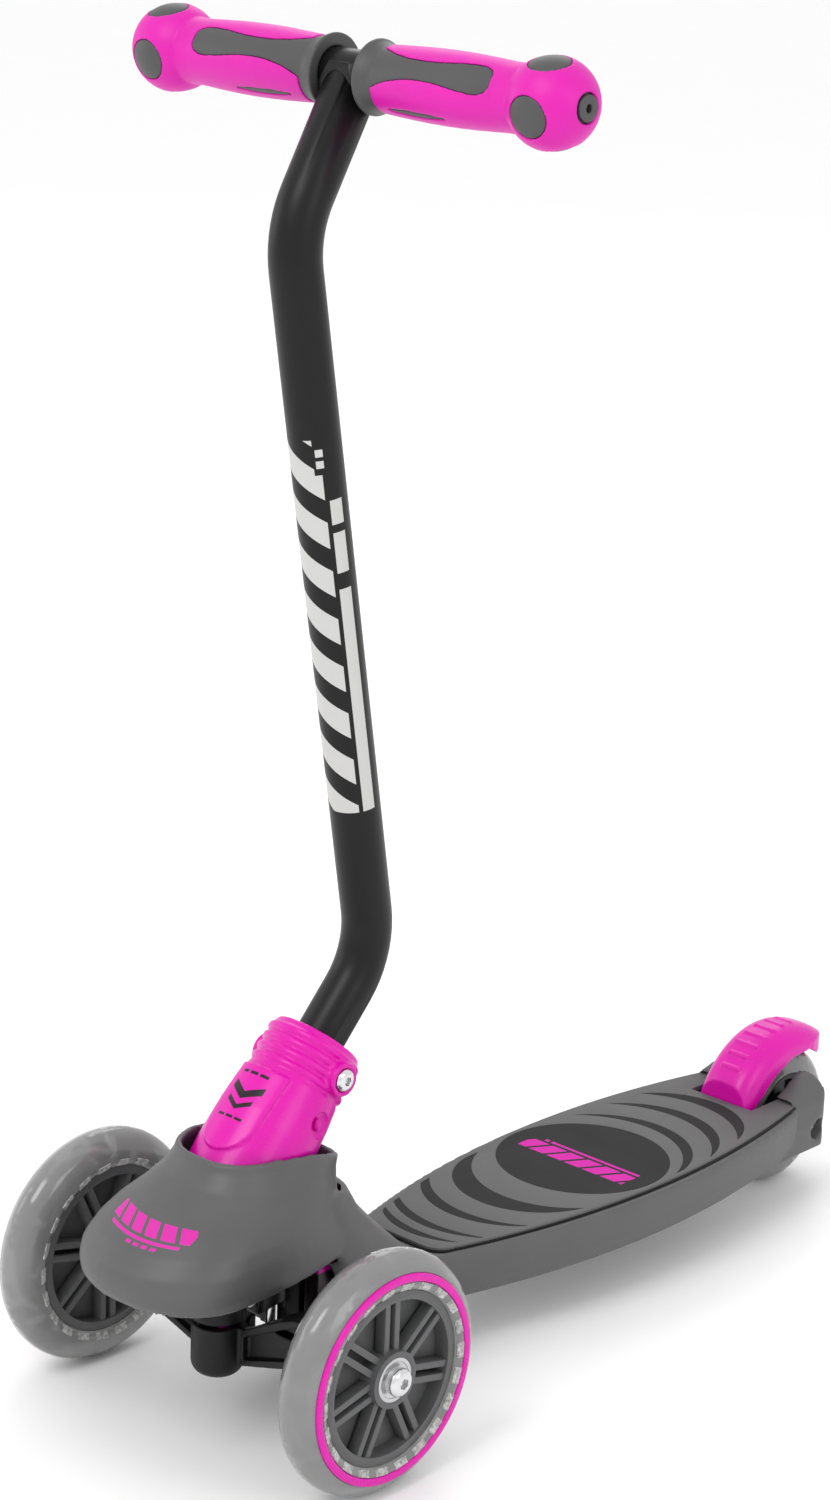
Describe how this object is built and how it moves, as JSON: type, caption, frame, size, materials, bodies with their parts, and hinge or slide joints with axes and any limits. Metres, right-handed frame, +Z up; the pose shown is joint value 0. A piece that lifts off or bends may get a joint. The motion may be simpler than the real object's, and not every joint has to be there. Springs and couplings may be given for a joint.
{
  "type": "kick scooter",
  "caption": "Child's lean-to-steer kick scooter: bent pole with ball-ended T-bar grips, two front wheels, rear wheel, moulded deck with hood, mat and rear foot brake.",
  "frame": {"origin": "on the floor, at the middle of the bounding box", "axes": "+X to the rider's left, -Y the way it rolls forwards, +Z up"},
  "size_m": [0.2724, 0.545, 0.6634],
  "materials": {
    "body": "fine-grained moulded charcoal grey",
    "mat": "fine-textured mid grey",
    "inlay": "dark grey, smooth",
    "black_metal": "satin black powder coat",
    "collar": "magenta moulded, low gloss",
    "steel": "bright zinc-plated",
    "bush": "magenta polyurethane",
    "sleeve": "plain turned",
    "tyre": "smoky grey cast polyurethane",
    "hub": "moulded grey",
    "ring": "magenta moulded",
    "bearing": "ground steel",
    "brake": "magenta moulded, low gloss",
    "grip_skin": "magenta soft rubber",
    "grip_core": "grey moulded"
  },
  "bodies": {
    "deck": {"deck_body": "body", "hood": "body", "deck_mat": "mat", "mat_inlays": "inlay", "pivot_bracket": "black_metal", "bracket_screws": "steel", "collar": "collar", "collar_bolt": "steel", "collar_nut": "steel", "pole": "black_metal", "handlebar": "black_metal", "weld_bead": "black_metal", "grip_core_left": "grip_core", "grip_skin_left": "grip_skin", "grip_cap_left": "grip_core", "grip_core_right": "grip_core", "grip_skin_right": "grip_skin", "grip_cap_right": "grip_core", "stop_screws": "steel", "stop_nuts": "steel", "kingpin": "steel", "kingpin_nut": "steel", "rear_axle_bolt": "steel", "rear_axle_nut": "steel", "rear_axle_sleeves": "sleeve", "brake_pin": "steel", "brake_spring": "steel"},
    "truck": {"truck": "black_metal", "kingpin_bush": "bush", "axle_bolt_left": "steel", "axle_nut_left": "steel", "axle_bolt_right": "steel", "axle_nut_right": "steel"},
    "front_wheel_left": {"front_tyre_left": "tyre", "front_hub_left": "hub", "front_ring_left": "ring", "front_bearings_left": "bearing", "front_spacer_left": "sleeve"},
    "front_wheel_right": {"front_tyre_right": "tyre", "front_hub_right": "hub", "front_ring_right": "ring", "front_bearings_right": "bearing", "front_spacer_right": "sleeve"},
    "rear_wheel": {"rear_tyre": "tyre", "rear_hub": "hub", "rear_bearings": "bearing", "rear_spacer": "sleeve"},
    "brake": {"brake_fender": "brake"}
  },
  "joints": [
    {"name": "lean_steer", "type": "hinge", "parent": "deck", "child": "truck", "pos_m": [0, -0.2015, 0.0565], "axis": [0, -0.6756, 0.7373], "range_deg": [-15, 15], "stiffness_Nm_per_rad": 6},
    {"name": "front_wheel_left_spin", "type": "hinge", "parent": "truck", "child": "front_wheel_left", "pos_m": [0.096, -0.1925, 0.06], "axis": [1, 0, 0], "continuous": true},
    {"name": "front_wheel_right_spin", "type": "hinge", "parent": "truck", "child": "front_wheel_right", "pos_m": [-0.096, -0.1925, 0.06], "axis": [1, 0, 0], "continuous": true},
    {"name": "rear_wheel_spin", "type": "hinge", "parent": "deck", "child": "rear_wheel", "pos_m": [0, 0.2325, 0.04], "axis": [1, 0, 0], "continuous": true},
    {"name": "brake_press", "type": "hinge", "parent": "deck", "child": "brake", "pos_m": [0, 0.1917, 0.0535], "axis": [-1, 0, 0], "range_deg": [0, 2.5], "stiffness_Nm_per_rad": 4}
  ]
}
